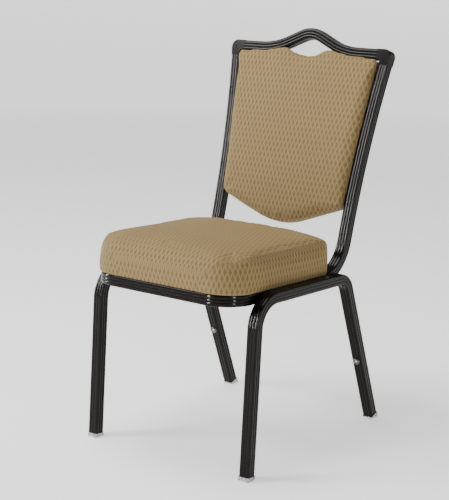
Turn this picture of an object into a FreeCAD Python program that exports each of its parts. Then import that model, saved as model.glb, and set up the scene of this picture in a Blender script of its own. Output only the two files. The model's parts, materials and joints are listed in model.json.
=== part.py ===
"""Stacking banquet chair: fluted aluminium tube frame, upholstered seat and back.

Millimetres, +Z up, the chair faces -Y, origin on the floor under the middle of the feet.
Frame tubes run in three planes: the two leg loops stand upright, the seat rail lies in
the seat plane (it falls slightly to the rear) and the crown and pad lie in the back plane.
"""
import FreeCAD, Part
import math
import os

import Sketcher

from FreeCAD import Placement, Rotation, Vector

os.makedirs("parts", exist_ok=True)

doc = FreeCAD.newDocument("stacking_chair")
sheet = doc.addObject("Spreadsheet::Sheet", "Sizes")

SIZES = [
    # fluted tube
    ("row_centre", 1.28),
    ("tube_side", 25.4),
    ("tube_wall", 2.0),
    ("tube_round", 3.4),
    ("rib_crown", 0.45),
    ("groove_width", 1.5),
    ("groove_depth", 0.9),
    # leg loops
    ("loop_offset", 209.0),
    ("loop_toe", 0.55),
    ("foot_half", 252.4),
    ("front_lean", 3.57),
    ("rear_splay", 21.36),
    ("front_bend", 62.0),
    ("rear_bend", 44.0),
    ("glide_height", 8.0),
    ("glide_lip", 0.7),
    ("glide_insert", 18.0),
    # seat plane
    ("seat_level", 371.0),
    ("seat_fall", 2.3),
    ("seat_front", 283.0),
    ("seat_half_front", 183.8),
    ("seat_half_rear", 180.2),
    ("seat_corner", 62.0),
    ("rail_end", 50.0),
    # back plane
    ("back_root", 132.65),
    ("back_rake", 15.6),
    ("back_bend", 100.0),
    ("back_flare", 3195.0),
    ("crown_level", 504.8),
    ("crown_hump", 96.0),
    ("crown_angle", 25.0),
    ("crown_crest", 60.0),
    ("crown_shoulder", 176.0),
    ("knuckle_round", 17.0),
    ("knuckle_leg", 24.0),
    # seat cushion
    ("cushion_half", 198.0),
    ("cushion_front", 294.0),
    ("cushion_rear", 74.0),
    ("cushion_round_front", 70.0),
    ("cushion_round_rear", 30.0),
    ("cushion_top", 101.0),
    ("cushion_edge", 22.0),
    ("cushion_base", 15.5),
    ("board_base", 12.9),
    ("board_thick", 12.0),
    ("board_inset", 6.0),
    ("board_rear", 58.0),
    ("dust_cover_thick", 0.8),
    ("brace_width", 25.4),
    ("brace_depth", 14.0),
    ("brace_top", 11.8),
    ("brace_wall", 2.0),
    ("brace_front", -150.0),
    ("brace_rear", 20.0),
    ("cloth_thick", 1.6),
    # back pad
    ("pad_front", 34.0),
    ("pad_edge", 9.0),
    ("strap_height", 25.0),
    ("strap_thick", 2.8),
    ("strap_low", 200.0),
    ("strap_high", 430.0),
    ("panel_thick", 2.8),
    ("back_board_thick", 7.0),
    ("trim_width", 3.0),
    ("back_screw_out", 110.0),
    # joints
    ("knuckle_swell", 0.2),
    ("knuckle_edge", 2.2),
    ("spigot_length", 16.0),
    ("weld_pad_front", -190.0),
    ("weld_pad_rear", 20.0),
    ("weld_pad_length", 30.0),
    ("weld_pad_height", 12.0),
    # small parts
    ("bumper_dia", 17.0),
    ("bumper_thick", 4.5),
    ("bumper_level", 160.0),
    ("screw_dia", 5.0),
    ("screw_head", 9.0),
    ("tee_nut_dia", 19.0),
    ("back_screw_dia", 4.0),
    ("back_screw_head", 7.0),
    ("screw_spread", 240.0),
]
for row, (alias, value) in enumerate(SIZES, start=1):
    sheet.set("A%d" % row, alias)
    sheet.set("B%d" % row, repr(value))
    sheet.setAlias("B%d" % row, alias)
doc.recompute()
S = {alias: float(sheet.get(alias)) for alias, value in SIZES}

HALF = S["tube_side"] / 2
SUB_PARTS = []
SOFT_GAP = 0.3
TOUCH = 0.1


# ---------------------------------------------------------------- helpers

def body(label, placement, kept=True):
    """A new PartDesign body. It becomes one sub-part unless it only helps to build another."""
    piece = doc.addObject("PartDesign::Body", label)
    piece.Label = label
    piece.Placement = placement
    if kept:
        SUB_PARTS.append(piece)
    return piece


def feature(label, shape):
    """A free shape that becomes one sub-part."""
    piece = doc.addObject("Part::Feature", label)
    piece.Label = label
    piece.Shape = shape
    SUB_PARTS.append(piece)
    return piece


def hollowed(label, outer, core):
    """A sub-part made by cutting one body out of another."""
    piece = doc.addObject("Part::Cut", label)
    piece.Label = label
    piece.Base = outer
    piece.Tool = core
    SUB_PARTS.append(piece)
    return piece


def sketch(piece, name, plane, offset=None):
    """A sketch on one of the body's own origin planes, optionally offset from it."""
    drawing = piece.newObject("Sketcher::SketchObject", name)
    for item in piece.Origin.OriginFeatures:
        if item.Role == plane:
            drawing.AttachmentSupport = [(item, "")]
    drawing.MapMode = "FlatFace"
    if offset is not None:
        drawing.AttachmentOffset = offset
    return drawing


def bind(drawing, kind, where, entry):
    """Adds one dimension to a sketch. The entry is a value and the sheet formula that drives it."""
    value, formula = entry
    number = drawing.addConstraint(Sketcher.Constraint(kind, *where, value))
    if formula:
        drawing.setExpression("Constraints[%d]" % number, formula)


def cell(alias, factor=1.0):
    """A sheet value, times a plain factor, with the formula that reads it."""
    return (S[alias] * factor, "Sizes.%s * %r" % (alias, factor))


def plain(value):
    return (value, None)


def flat_sketch(piece, name, level):
    """A sketch on a level plane, at a height above the body's own origin."""
    return sketch(piece, name, "XY_Plane", Placement(Vector(0, 0, level), Rotation()))


def rectangle(drawing, x_low, y_low, width, height):
    """A rectangle from its lower left corner. Each entry is a (value, formula) pair."""
    left, bottom = x_low[0], y_low[0]
    right, top = left + width[0], bottom + height[0]
    corners = [
        Vector(left, bottom, 0), Vector(right, bottom, 0), Vector(right, top, 0), Vector(left, top, 0),
    ]
    lines = [drawing.addGeometry(Part.LineSegment(corners[k], corners[(k + 1) % 4])) for k in range(4)]
    for k, kind in enumerate(("Horizontal", "Vertical", "Horizontal", "Vertical")):
        drawing.addConstraint(Sketcher.Constraint("Coincident", lines[k], 2, lines[(k + 1) % 4], 1))
        drawing.addConstraint(Sketcher.Constraint(kind, lines[k]))
    bind(drawing, "DistanceX", (-1, 1, lines[0], 1), x_low)
    bind(drawing, "DistanceY", (-1, 1, lines[0], 1), y_low)
    bind(drawing, "DistanceX", (lines[0], 1, lines[0], 2), width)
    bind(drawing, "DistanceY", (lines[1], 1, lines[1], 2), height)


def circle(drawing, x, y, radius):
    """A circle from its centre and its radius, each a (value, formula) pair."""
    ring = drawing.addGeometry(Part.Circle(Vector(x[0], y[0], 0), Vector(0, 0, 1), radius[0]))
    bind(drawing, "DistanceX", (-1, 1, ring, 3), x)
    bind(drawing, "DistanceY", (-1, 1, ring, 3), y)
    bind(drawing, "Radius", (ring,), radius)


def unit(vector):
    copy = Vector(vector)
    copy.normalize()
    return copy


def rounded_edges(corners, radii, closed):
    """Line and arc curves through a row of corners, each corner rounded by its radius."""
    count = len(corners)
    cuts = []
    for k in range(count):
        radius = radii[k]
        if radius == 0:
            cuts.append((corners[k], corners[k], None))
            continue
        back = unit(corners[k - 1] - corners[k])
        ahead = unit(corners[(k + 1) % count] - corners[k])
        half = back.getAngle(ahead) / 2
        reach = radius / math.tan(half)
        centre = corners[k] + unit(back + ahead) * (radius / math.sin(half))
        middle = centre + unit(corners[k] - centre) * radius
        cuts.append((corners[k] + back * reach, corners[k] + ahead * reach, middle))
    curves = []
    for k in range(count):
        start, end, middle = cuts[k]
        if middle is not None:
            curves.append(("arc", Part.Arc(start, middle, end), (k,)))
        if k + 1 < count or closed:
            curves.append(("line", Part.LineSegment(end, cuts[(k + 1) % count][0]), (k, (k + 1) % count)))
    return curves



def end_at(drawing, curve, point):
    """Which end of a sketch curve, 1 or 2, lies on the point."""
    first = drawing.getPoint(curve, 1).distanceToPoint(point)
    second = drawing.getPoint(curve, 2).distanceToPoint(point)
    return 1 if first < second else 2


def rounded_path(drawing, corners, radii, closed=False):
    """Draws a row of rounded corners, pinned by its corner marks and its radii.

    A radius or a coordinate is a (value, formula) pair; formula None leaves it a plain number.
    """
    points = [Vector(x[0], y[0], 0) for x, y in corners]
    curves = rounded_edges(points, [radius[0] for radius in radii], closed)
    made = [drawing.addGeometry(curve) for kind, curve, corner in curves]
    count = len(curves)
    for k in range(count if closed else count - 1):
        following = (k + 1) % count
        joint = curves[k][1].EndPoint
        ends = (
            made[k], end_at(drawing, made[k], joint),
            made[following], end_at(drawing, made[following], joint),
        )
        kind = "Tangent" if "arc" in (curves[k][0], curves[following][0]) else "Coincident"
        drawing.addConstraint(Sketcher.Constraint(kind, *ends))
    for k, (x, y) in enumerate(corners):
        mark = drawing.addGeometry(Part.Point(points[k]), True)
        bind(drawing, "DistanceX", (-1, 1, mark, 1), x)
        bind(drawing, "DistanceY", (-1, 1, mark, 1), y)
        open_end = not closed and k in (0, len(corners) - 1)
        for line in made:
            item = curves[made.index(line)]
            if item[0] != "line" or k not in item[2]:
                continue
            if open_end:
                end = end_at(drawing, line, points[k])
                drawing.addConstraint(Sketcher.Constraint("Coincident", mark, 1, line, end))
            else:
                drawing.addConstraint(Sketcher.Constraint("PointOnObject", mark, 1, line))
    for line, item in zip(made, curves):
        if item[0] == "arc":
            bind(drawing, "Radius", (line,), radii[item[2][0]])

# ---------------------------------------------------------------- fluted tube section

def fluted_curves():
    """Outer outline of the tube: three shallow ribs a face, two grooves between, round corners."""
    straight = S["tube_side"] / 2 - S["rib_crown"]
    span = 2 * (HALF - S["tube_round"])
    rib = (span - 2 * S["groove_width"]) / 3
    groove_floor = -straight + S["groove_depth"]
    outline = []
    for face in range(4):
        turn = Rotation(Vector(0, 0, 1), 90 * face)
        left = -span / 2
        for number in range(3):
            outline.append([turn.multVec(Vector(left, -straight, 0)),
                            turn.multVec(Vector(left + rib / 2, -HALF, 0)),
                            turn.multVec(Vector(left + rib, -straight, 0))])
            left += rib
            if number < 2:
                outline.append([turn.multVec(Vector(left, -straight, 0)),
                                turn.multVec(Vector(left + S["groove_width"] / 2, groove_floor, 0)),
                                turn.multVec(Vector(left + S["groove_width"], -straight, 0))])
                left += S["groove_width"]
        bow = (straight - span / 2) * (1 - math.sqrt(0.5))
        outline.append([turn.multVec(Vector(span / 2, -straight, 0)),
                        turn.multVec(Vector(straight - bow, -straight + bow, 0)),
                        turn.multVec(Vector(straight, -span / 2, 0))])
    return [Part.Arc(*points) for points in outline]


def bore_corners():
    inner = HALF - S["tube_wall"]
    return [
        Vector(-inner, -inner, 0), Vector(inner, -inner, 0),
        Vector(inner, inner, 0), Vector(-inner, inner, 0),
    ]




def derive(alias, value):
    """Stores a worked-out size in the sheet, so that sketches can read it too."""
    row = len(S) + 1
    sheet.set("A%d" % row, alias)
    sheet.set("B%d" % row, repr(round(value, 4)))
    sheet.setAlias("B%d" % row, alias)
    S[alias] = round(value, 4)


def inset_outline(corners, gap):
    """Moves every side of a counterclockwise outline inwards by the gap."""
    moved = []
    count = len(corners)
    for k in range(count):
        here = Vector(*corners[k], 0)
        before = unit(here - Vector(*corners[k - 1], 0))
        after = unit(Vector(*corners[(k + 1) % count], 0) - here)
        inward_before = Vector(-before.y, before.x, 0)
        inward_after = Vector(-after.y, after.x, 0)
        bisector = inward_before + inward_after
        shift = bisector * (2 * gap / bisector.dot(bisector))
        moved.append((here.x + shift.x, here.y + shift.y))
    return moved


def inset_radii(corners, radii, gap):
    """Outer bends get tighter by the gap and hollow bends wider."""
    result = []
    count = len(corners)
    for k in range(count):
        here = Vector(*corners[k], 0)
        before = here - Vector(*corners[k - 1], 0)
        after = Vector(*corners[(k + 1) % count], 0) - here
        hollow = before.cross(after).z < 0
        result.append(radii[k] + gap if hollow else max(radii[k] - gap, 1.0))
    return result


def outline(drawing, corners, radii, gap=0.0):
    """A closed rounded outline, set in from the given one by the gap."""
    inner = inset_outline(corners, gap) if gap else corners
    rounds = inset_radii(corners, radii, gap) if gap else radii
    spots = [(plain(x), plain(y)) for x, y in inner]
    rounded_path(drawing, spots, [plain(radius) for radius in rounds], True)


def pad(piece, drawing, name, length, middle=False):
    """Extrudes a sketch by a (value, formula) length."""
    block = piece.newObject("PartDesign::Pad", name)
    block.Profile = drawing
    block.Length = length[0]
    if length[1]:
        block.setExpression("Length", length[1])
    block.Midplane = middle
    piece.Tip = block
    return block


def pocket(piece, drawing, name, length, reverse=False, middle=False):
    """Cuts a sketch into the body and makes sure that something was cut."""
    doc.recompute()
    before = piece.Shape.Volume
    hole = piece.newObject("PartDesign::Pocket", name)
    hole.Profile = drawing
    hole.Length = length[0]
    if length[1]:
        hole.setExpression("Length", length[1])
    hole.Reversed = reverse
    hole.Midplane = middle
    piece.Tip = hole
    doc.recompute()
    if piece.Shape.Volume >= before:
        raise RuntimeError("%s cuts nothing from %s" % (name, piece.Label))
    return hole


def fillet(piece, base, name, radius, wanted):
    """Rounds the edges of a feature that the test picks."""
    doc.recompute()
    edges = ["Edge%d" % (k + 1) for k, edge in enumerate(base.Shape.Edges) if wanted(edge)]
    if not edges:
        raise RuntimeError("%s finds no edges on %s" % (name, piece.Label))
    rounded = piece.newObject("PartDesign::Fillet", name)
    rounded.Base = (base, edges)
    rounded.Radius = radius[0]
    if radius[1]:
        rounded.setExpression("Radius", radius[1])
    piece.Tip = rounded
    return rounded


def flat_at(axis, level):
    """A test for edges that lie wholly at one level of an axis."""
    def wanted(edge):
        box = edge.BoundBox
        low, high = getattr(box, axis + "Min"), getattr(box, axis + "Max")
        return abs(low - level) < 0.01 and abs(high - level) < 0.01
    return wanted


def along(direction):
    """A test for straight edges that run along a direction."""
    def wanted(edge):
        if len(edge.Vertexes) != 2 or edge.Curve.TypeId != "Part::GeomLine":
            return False
        run = edge.Vertexes[1].Point - edge.Vertexes[0].Point
        return run.cross(direction).Length < 1e-3 * run.Length
    return wanted


# ---------------------------------------------------------------- planes and derived sizes

SIDES = (("left", -1), ("right", 1))
X_AXIS = Vector(1, 0, 0)
Y_AXIS = Vector(0, 1, 0)
Z_AXIS = Vector(0, 0, 1)

fall = math.tan(math.radians(S["seat_fall"]))
front_slope = math.tan(math.radians(S["front_lean"]))
rear_slope = -math.tan(math.radians(S["rear_splay"]))


def leg_top(foot, slope):
    """Where a leg's centre line crosses the side rail's, in the loop's own plane."""
    level = (S["seat_level"] - fall * (foot - slope * S["glide_height"])) / (1 + fall * slope)
    return foot + slope * (level - S["glide_height"]), level


front_top = leg_top(-S["foot_half"], front_slope)
rear_top = leg_top(S["foot_half"], rear_slope)
derive("front_top_depth", front_top[0])
derive("front_top_level", front_top[1])
derive("rear_top_depth", rear_top[0])
derive("rear_top_level", rear_top[1])

seat_plane = Placement(Vector(0, S["row_centre"], S["seat_level"]), Rotation(X_AXIS, -S["seat_fall"]))
back_origin = Vector(0, S["row_centre"] + S["back_root"], S["seat_level"] - fall * S["back_root"])
back_plane = Placement(back_origin, Rotation(X_AXIS, -S["back_rake"]))
turn_of_back = math.radians(90 - S["back_rake"] + S["seat_fall"])
derive("bend_reach", S["back_bend"] * math.tan(turn_of_back / 2))


def upright_centre(level):
    """Half distance between the uprights' centre lines at a height along the back plane."""
    rise = max(level - S["bend_reach"], 0)
    return S["seat_half_rear"] + S["back_flare"] - math.sqrt(S["back_flare"] ** 2 - rise ** 2)


derive("corner_half", upright_centre(S["crown_level"]))
top_angle = math.asin((S["crown_level"] - S["bend_reach"]) / S["back_flare"])
derive("crown_end", S["corner_half"] - S["knuckle_leg"])


def loop_plane(side):
    """The upright plane of one leg loop, toed in slightly to the rear."""
    middle = Vector(side * S["loop_offset"], S["row_centre"], 0)
    return Placement(middle, Rotation(Z_AXIS, side * S["loop_toe"]))


# ---------------------------------------------------------------- bent tubes

def section_sketch(piece, plane, offset):
    """The hollow fluted section, set square to the start of a tube's path."""
    section = sketch(piece, piece.Label + "_section", plane, offset)
    for curve in fluted_curves():
        section.addGeometry(curve)
    corners = bore_corners()
    for k in range(4):
        section.addGeometry(Part.LineSegment(corners[k], corners[(k + 1) % 4]))
    return section


def bent_tube(piece, path, section):
    tube = piece.newObject("PartDesign::AdditivePipe", piece.Label + "_tube")
    tube.Profile = section
    tube.Spine = (path, [])
    piece.Tip = tube


def leg_loop(name, side):
    """Front leg, side rail and rear leg, bent from one tube."""
    piece = body("leg_loop_" + name, loop_plane(side))
    path = sketch(piece, piece.Label + "_path", "YZ_Plane")
    corners = [
        (cell("foot_half", -1.0), cell("glide_height")),
        (cell("front_top_depth"), cell("front_top_level")),
        (cell("rear_top_depth"), cell("rear_top_level")),
        (cell("foot_half"), cell("glide_height")),
    ]
    rounded_path(path, corners, [plain(0), cell("front_bend"), cell("rear_bend"), plain(0)])
    offset = Placement(Vector(0, -S["foot_half"], S["glide_height"]), Rotation(X_AXIS, -S["front_lean"]))
    bent_tube(piece, path, section_sketch(piece, "XY_Plane", offset))


def seat_rail():
    """Front rail and both side arms of the seat, bent from one tube in the seat plane."""
    piece = body("seat_rail", seat_plane)
    path = sketch(piece, "seat_rail_path", "XY_Plane")
    corners = [
        (cell("seat_half_rear", -1.0), cell("rail_end")),
        (cell("seat_half_front", -1.0), cell("seat_front", -1.0)),
        (cell("seat_half_front"), cell("seat_front", -1.0)),
        (cell("seat_half_rear"), cell("rail_end")),
    ]
    rounded_path(path, corners, [plain(0), cell("seat_corner"), cell("seat_corner"), plain(0)])
    offset = Placement(Vector(-S["seat_half_rear"], 0, -S["rail_end"]), Rotation())
    bent_tube(piece, path, section_sketch(piece, "XZ_Plane", offset))


def crown_rail():
    """Top rail of the back: level ends, hollow shoulders and a central hump to lift by."""
    piece = body("crown_rail", back_plane)
    path = sketch(piece, "crown_rail_path", "XZ_Plane")
    hump = S["crown_level"] + S["crown_hump"] * math.tan(math.radians(S["crown_angle"]))
    corners = [
        (cell("crown_end", -1.0), cell("crown_level")),
        (cell("crown_hump", -1.0), cell("crown_level")),
        (plain(0), (hump, "Sizes.crown_level + Sizes.crown_hump * tan(Sizes.crown_angle)")),
        (cell("crown_hump"), cell("crown_level")),
        (cell("crown_end"), cell("crown_level")),
    ]
    shoulder = cell("crown_shoulder")
    rounded_path(path, corners, [plain(0), shoulder, cell("crown_crest"), shoulder, plain(0)])
    offset = Placement(Vector(0, S["crown_level"], -S["crown_end"]), Rotation())
    bent_tube(piece, path, section_sketch(piece, "YZ_Plane", offset))


def swept(wire, section):
    """A solid swept along a path that leaves one plane, with no twist of its own."""
    shell = Part.BRepOffsetAPI.MakePipeShell(wire)
    shell.setBiNormalMode(X_AXIS)
    shell.add(section, False, False)
    shell.build()
    shell.makeSolid()
    return shell.shape()


def back_upright(name, side):
    """Runs out of the seat arm, turns up through the rear bend and flares outwards to the crown."""
    start = seat_plane.multVec(Vector(side * S["seat_half_rear"], S["rail_end"], 0))
    root = back_plane.multVec(Vector(side * S["seat_half_rear"], 0, 0))
    arm = seat_plane.Rotation.multVec(Y_AXIS)
    rise = back_plane.Rotation.multVec(Z_AXIS)
    bend_start = root - arm * S["bend_reach"]
    bend_end = root + rise * S["bend_reach"]
    inward = unit(rise - arm)
    half = turn_of_back / 2
    bend_middle = root + inward * (S["back_bend"] / math.cos(half) - S["back_bend"])
    top = S["crown_level"] - S["knuckle_leg"] * math.cos(top_angle)
    middle = (top + S["bend_reach"]) / 2
    flare = [back_plane.multVec(Vector(side * upright_centre(level), 0, level)) for level in (middle, top)]
    path = Part.Wire([Part.makeLine(start, bend_start),
                      Part.Arc(bend_start, bend_middle, bend_end).toShape(),
                      Part.Arc(bend_end, flare[0], flare[1]).toShape()])
    across = Placement(start, seat_plane.Rotation * Rotation(X_AXIS, -90))
    outside = Part.Wire([curve.toShape() for curve in fluted_curves()])
    inside = Part.makePolygon(bore_corners() + bore_corners()[:1])
    outside.Placement = across
    inside.Placement = across
    feature("back_upright_" + name, swept(path, outside).cut(swept(path, inside)))


def corner_knuckle(name, side):
    """Cast corner that joins an upright to the crown, with a spigot into each tube."""
    piece = body("corner_knuckle_" + name, back_plane)
    reach = S["knuckle_leg"] - TOUCH
    half = HALF + S["knuckle_swell"]
    down = Vector(-side * math.sin(top_angle), -math.cos(top_angle), 0)
    out = Vector(side * math.cos(top_angle), -math.sin(top_angle), 0)
    corner = Vector(side * S["corner_half"], S["crown_level"], 0)

    def crossing(level, offset):
        """Where a level line meets the upright's side line."""
        anchor = corner + out * offset
        run = (level - anchor.y) / down.y
        return anchor + down * run

    outer = crossing(corner.y + half, half)
    inner = crossing(corner.y - half, -half)
    foot_level = corner.y - S["knuckle_leg"] * math.cos(top_angle) + TOUCH
    shape = [
        Vector(corner.x - side * reach, corner.y + half, 0),
        outer,
        crossing(foot_level, half),
        crossing(foot_level, -half),
        inner,
        Vector(corner.x - side * reach, corner.y - half, 0),
    ]
    drawing = sketch(piece, piece.Label + "_outline", "XZ_Plane")
    radii = [plain(0), cell("knuckle_round"), plain(0), plain(0), plain(2.0), plain(0)]
    rounded_path(drawing, [(plain(point.x), plain(point.y)) for point in shape], radii, True)
    width = (2 * half, "Sizes.tube_side + 2 * Sizes.knuckle_swell")
    block = pad(piece, drawing, piece.Label + "_block", width, True)
    fillet(piece, block, piece.Label + "_round", cell("knuckle_edge"),
           lambda edge: (flat_at("Y", half)(edge) or flat_at("Y", -half)(edge))
           and abs(edge.CenterOfMass.x - corner.x + side * reach) > 0.1
           and abs(edge.CenterOfMass.z - foot_level) > 0.1)
    doc.recompute()
    bore = HALF - S["tube_wall"] - SOFT_GAP
    root = 4.0
    length = S["spigot_length"]
    spigots = sketch(piece, piece.Label + "_spigot_crown", "XZ_Plane")
    left = corner.x - side * (reach - root)
    right = corner.x - side * (reach + length)
    rectangle(spigots, plain(min(left, right)), plain(corner.y - bore),
              plain(abs(left - right)), plain(2 * bore))
    pad(piece, spigots, piece.Label + "_crown_spigot", plain(2 * bore), True)
    lower = sketch(piece, piece.Label + "_spigot_upright", "XZ_Plane")
    near = corner + down * (reach - root)
    far = corner + down * (reach + length)
    ring = [near + out * bore, far + out * bore, far - out * bore, near - out * bore]
    rounded_path(lower, [(plain(point.x), plain(point.y)) for point in ring], [plain(0)] * 4, True)
    pad(piece, lower, piece.Label + "_upright_spigot", plain(2 * bore), True)


# ---------------------------------------------------------------- feet and bumpers

def glide(name, side, foot, slope):
    """Clear plastic foot: a wedge under the square-cut leg with a plug up the bore."""
    piece = body("glide_" + name, loop_plane(side))
    up = unit(Vector(slope, 1, 0))
    across = Vector(up.y, -up.x, 0)
    end = Vector(foot, S["glide_height"], 0)
    half = HALF + S["glide_lip"]
    top = [end - across * half, end + across * half]
    bottom = [point - up * (point.y / up.y) for point in top]
    shape = [bottom[0], bottom[1], top[1], top[0]]
    side_view = sketch(piece, piece.Label + "_side", "YZ_Plane")
    rounded_path(side_view, [(plain(point.x), plain(point.y)) for point in shape], [plain(0)] * 4, True)
    width = (2 * half, "Sizes.tube_side + 2 * Sizes.glide_lip")
    foot_pad = pad(piece, side_view, piece.Label + "_pad", width, True)
    fillet(piece, foot_pad, piece.Label + "_round", plain(2.6), along(Vector(0, slope, 1)))
    doc.recompute()
    plug_half = HALF - S["tube_wall"] - 0.3
    deep = S["glide_insert"]
    plug = [end - across * plug_half - up, end + across * plug_half - up,
            end + across * plug_half + up * deep, end - across * plug_half + up * deep]
    plug_view = sketch(piece, piece.Label + "_plug_side", "YZ_Plane")
    rounded_path(plug_view, [(plain(point.x), plain(point.y)) for point in plug], [plain(0)] * 4, True)
    pad(piece, plug_view, piece.Label + "_plug", plain(2 * plug_half), True)


def bumper_seat(side):
    """Placement of a bumper: on the front face of the rear leg, facing square out of it."""
    drop = S["bumper_level"] - S["glide_height"]
    depth = S["foot_half"] + rear_slope * drop
    angle = math.radians(S["rear_splay"])
    facing = Vector(0, -math.cos(angle), -math.sin(angle))
    spot = Vector(0, depth, S["bumper_level"]) + facing * (HALF + 0.1)
    return loop_plane(side).multiply(Placement(spot, Rotation(Z_AXIS, facing)))


def stack_bumper(name, side):
    """Round clear button that keeps stacked chairs apart, dished for its rivet."""
    piece = body("stack_bumper_" + name, bumper_seat(side))
    radius = S["bumper_dia"] / 2
    thick = S["bumper_thick"]
    profile = sketch(piece, piece.Label + "_profile", "XZ_Plane")
    shape = [
        (2.2, 0), (radius, 0), (radius - 0.8, thick),
        (5.2, thick), (4.0, thick - 2.2), (2.2, thick - 2.2),
    ]
    rounded_path(profile, [(plain(x), plain(y)) for x, y in shape],
                 [plain(0), plain(0), plain(1.2), plain(0.6), plain(0), plain(0)], True)
    turned = piece.newObject("PartDesign::Revolution", piece.Label + "_turned")
    turned.Profile = profile
    turned.ReferenceAxis = (profile, ["V_Axis"])
    turned.Angle = 360
    piece.Tip = turned


def bumper_rivets():
    """One domed rivet in the dish of each bumper."""
    rivets = []
    for name, side in SIDES:
        floor = S["bumper_thick"] - 2.2 + 0.05
        head = Part.makeCylinder(3.4, 0.9, Vector(0, 0, floor))
        crown = Part.makeSphere(5.0, Vector(0, 0, floor - 3.2), Z_AXIS, 0, 90, 360)
        head = head.common(crown)
        shank = Part.makeCylinder(2.1, floor, Vector(0, 0, 0))
        rivet = head.fuse(shank).removeSplitter()
        rivet.Placement = bumper_seat(side)
        rivets.append(rivet)
    feature("bumper_rivets", Part.makeCompound(rivets))


# ---------------------------------------------------------------- seat

def arm_half(depth):
    """Half distance between the seat arms' centre lines at a depth in the seat plane."""
    share = (depth + S["seat_front"]) / (S["rail_end"] + S["seat_front"])
    return S["seat_half_front"] + (S["seat_half_rear"] - S["seat_half_front"]) * share


SCREW_SPOTS = [
    (side * S["screw_spread"] / 2, S[row])
    for row in ("brace_front", "brace_rear") for side in (-1, 1)
]


def seat_outline():
    half, rear, front = S["cushion_half"], S["cushion_rear"], -S["cushion_front"]
    corners = [(-half, front), (half, front), (half, rear), (-half, rear)]
    radii = [S["cushion_round_front"]] * 2 + [S["cushion_round_rear"]] * 2
    return corners, radii


def holes(piece, name, radius, length, level=0.0, reverse=False):
    """Four round holes at the seat screws, cut from one level of the seat plane."""
    drawing = flat_sketch(piece, piece.Label + "_" + name, level)
    for x, y in SCREW_SPOTS:
        circle(drawing, plain(x), plain(y), plain(radius))
    pocket(piece, drawing, piece.Label + "_" + name + "_cut", plain(length), reverse)


def seat_brace(name, depth_cell):
    """Box-section bar welded between the seat arms, drilled for two seat screws."""
    piece = body("seat_brace_" + name, seat_plane)
    half_width = S["brace_width"] / 2
    depth = S[depth_cell]
    section = sketch(piece, piece.Label + "_section", "YZ_Plane")
    rectangle(section, (depth - half_width, "Sizes.%s - Sizes.brace_width / 2" % depth_cell),
              (S["brace_top"] - S["brace_depth"], "Sizes.brace_top - Sizes.brace_depth"),
              cell("brace_width"), cell("brace_depth"))
    wall = S["brace_wall"]
    edge = "Sizes.%s - Sizes.brace_width / 2 + Sizes.brace_wall" % depth_cell
    floor = "Sizes.brace_top - Sizes.brace_depth + Sizes.brace_wall"
    rectangle(section, (depth - half_width + wall, edge),
              (S["brace_top"] - S["brace_depth"] + wall, floor),
              (S["brace_width"] - 2 * wall, "Sizes.brace_width - 2 * Sizes.brace_wall"),
              (S["brace_depth"] - 2 * wall, "Sizes.brace_depth - 2 * Sizes.brace_wall"))
    span = 2 * (arm_half(depth + half_width) - HALF - 0.1)
    pad(piece, section, piece.Label + "_bar", plain(span), True)
    drawing = flat_sketch(piece, piece.Label + "_screw_holes", S["brace_top"] + 1)
    clearance = (S["screw_dia"] / 2 + 0.3, "Sizes.screw_dia / 2 + 0.3")
    for side in (-1, 1):
        circle(drawing, cell("screw_spread", 0.5 * side), cell(depth_cell), clearance)
    pocket(piece, drawing, piece.Label + "_drilled", plain(S["brace_depth"] + 2))


def seat_board():
    """Plywood base, drilled and counterbored for the tee nuts."""
    piece = body("seat_board", seat_plane)
    drawing = flat_sketch(piece, "seat_board_outline", S["board_base"])
    corners, radii = seat_outline()
    inner = inset_outline(corners, S["board_inset"])
    inner = [(x, min(y, S["board_rear"])) for x, y in inner]
    rounded_path(drawing, [(plain(x), plain(y)) for x, y in inner],
                 [plain(radius - S["board_inset"]) for radius in radii], True)
    pad(piece, drawing, "seat_board_sheet", cell("board_thick"))
    top = S["board_base"] + S["board_thick"]
    holes(piece, "bore", 3.8, S["board_thick"] + 2, top + 1)
    holes(piece, "counterbore", S["tee_nut_dia"] / 2 + 0.4, 1.6, top)


def seat_block(label, base, gap, kept=True):
    """The cushion's rounded block, smaller than its outside by the gap."""
    piece = body(label, seat_plane, kept)
    top = S["cushion_top"] - gap
    drawing = flat_sketch(piece, label + "_outline", base)
    corners, radii = seat_outline()
    outline(drawing, corners, radii, gap)
    block = pad(piece, drawing, label + "_block", (top - base, "Sizes.cushion_top - %r" % (base + gap)))
    edge_radius = (S["cushion_edge"] - gap, "Sizes.cushion_edge - %r" % gap)
    fillet(piece, block, label + "_round", edge_radius, flat_at("Z", top))
    return piece


def seat_foam():
    seat_block("seat_foam", S["board_base"] + S["board_thick"] + 0.1, S["cloth_thick"] + SOFT_GAP)


def seat_cover():
    """Fabric cover: a thin shell over the foam, open underneath."""
    outer = seat_block("seat_cover_outer", S["cushion_base"], 0.0, False)
    core = seat_block("seat_cover_core", S["cushion_base"] - 5, S["cloth_thick"], False)
    hollowed("seat_cover", outer, core)


def seat_dust_cover():
    """Thin black cloth stapled under the board, inside the rail."""
    piece = body("seat_dust_cover", seat_plane)
    level = S["board_base"] - S["dust_cover_thick"] - 0.1
    drawing = flat_sketch(piece, "seat_dust_cover_outline", level)
    half = S["seat_half_rear"] - HALF - 2
    front = -S["seat_front"] + HALF + 2
    rear = S["rail_end"] - 4
    corner = S["seat_corner"] - HALF
    corners = ((-half, front), (half, front), (half, rear), (-half, rear))
    rounded_path(drawing, [(plain(x), plain(y)) for x, y in corners],
                 [plain(corner), plain(corner), plain(6), plain(6)], True)
    pad(piece, drawing, "seat_dust_cover_sheet", cell("dust_cover_thick"))
    holes(piece, "screw_holes", S["screw_dia"] / 2 + 0.4, 3, S["board_base"] + 1)


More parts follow.
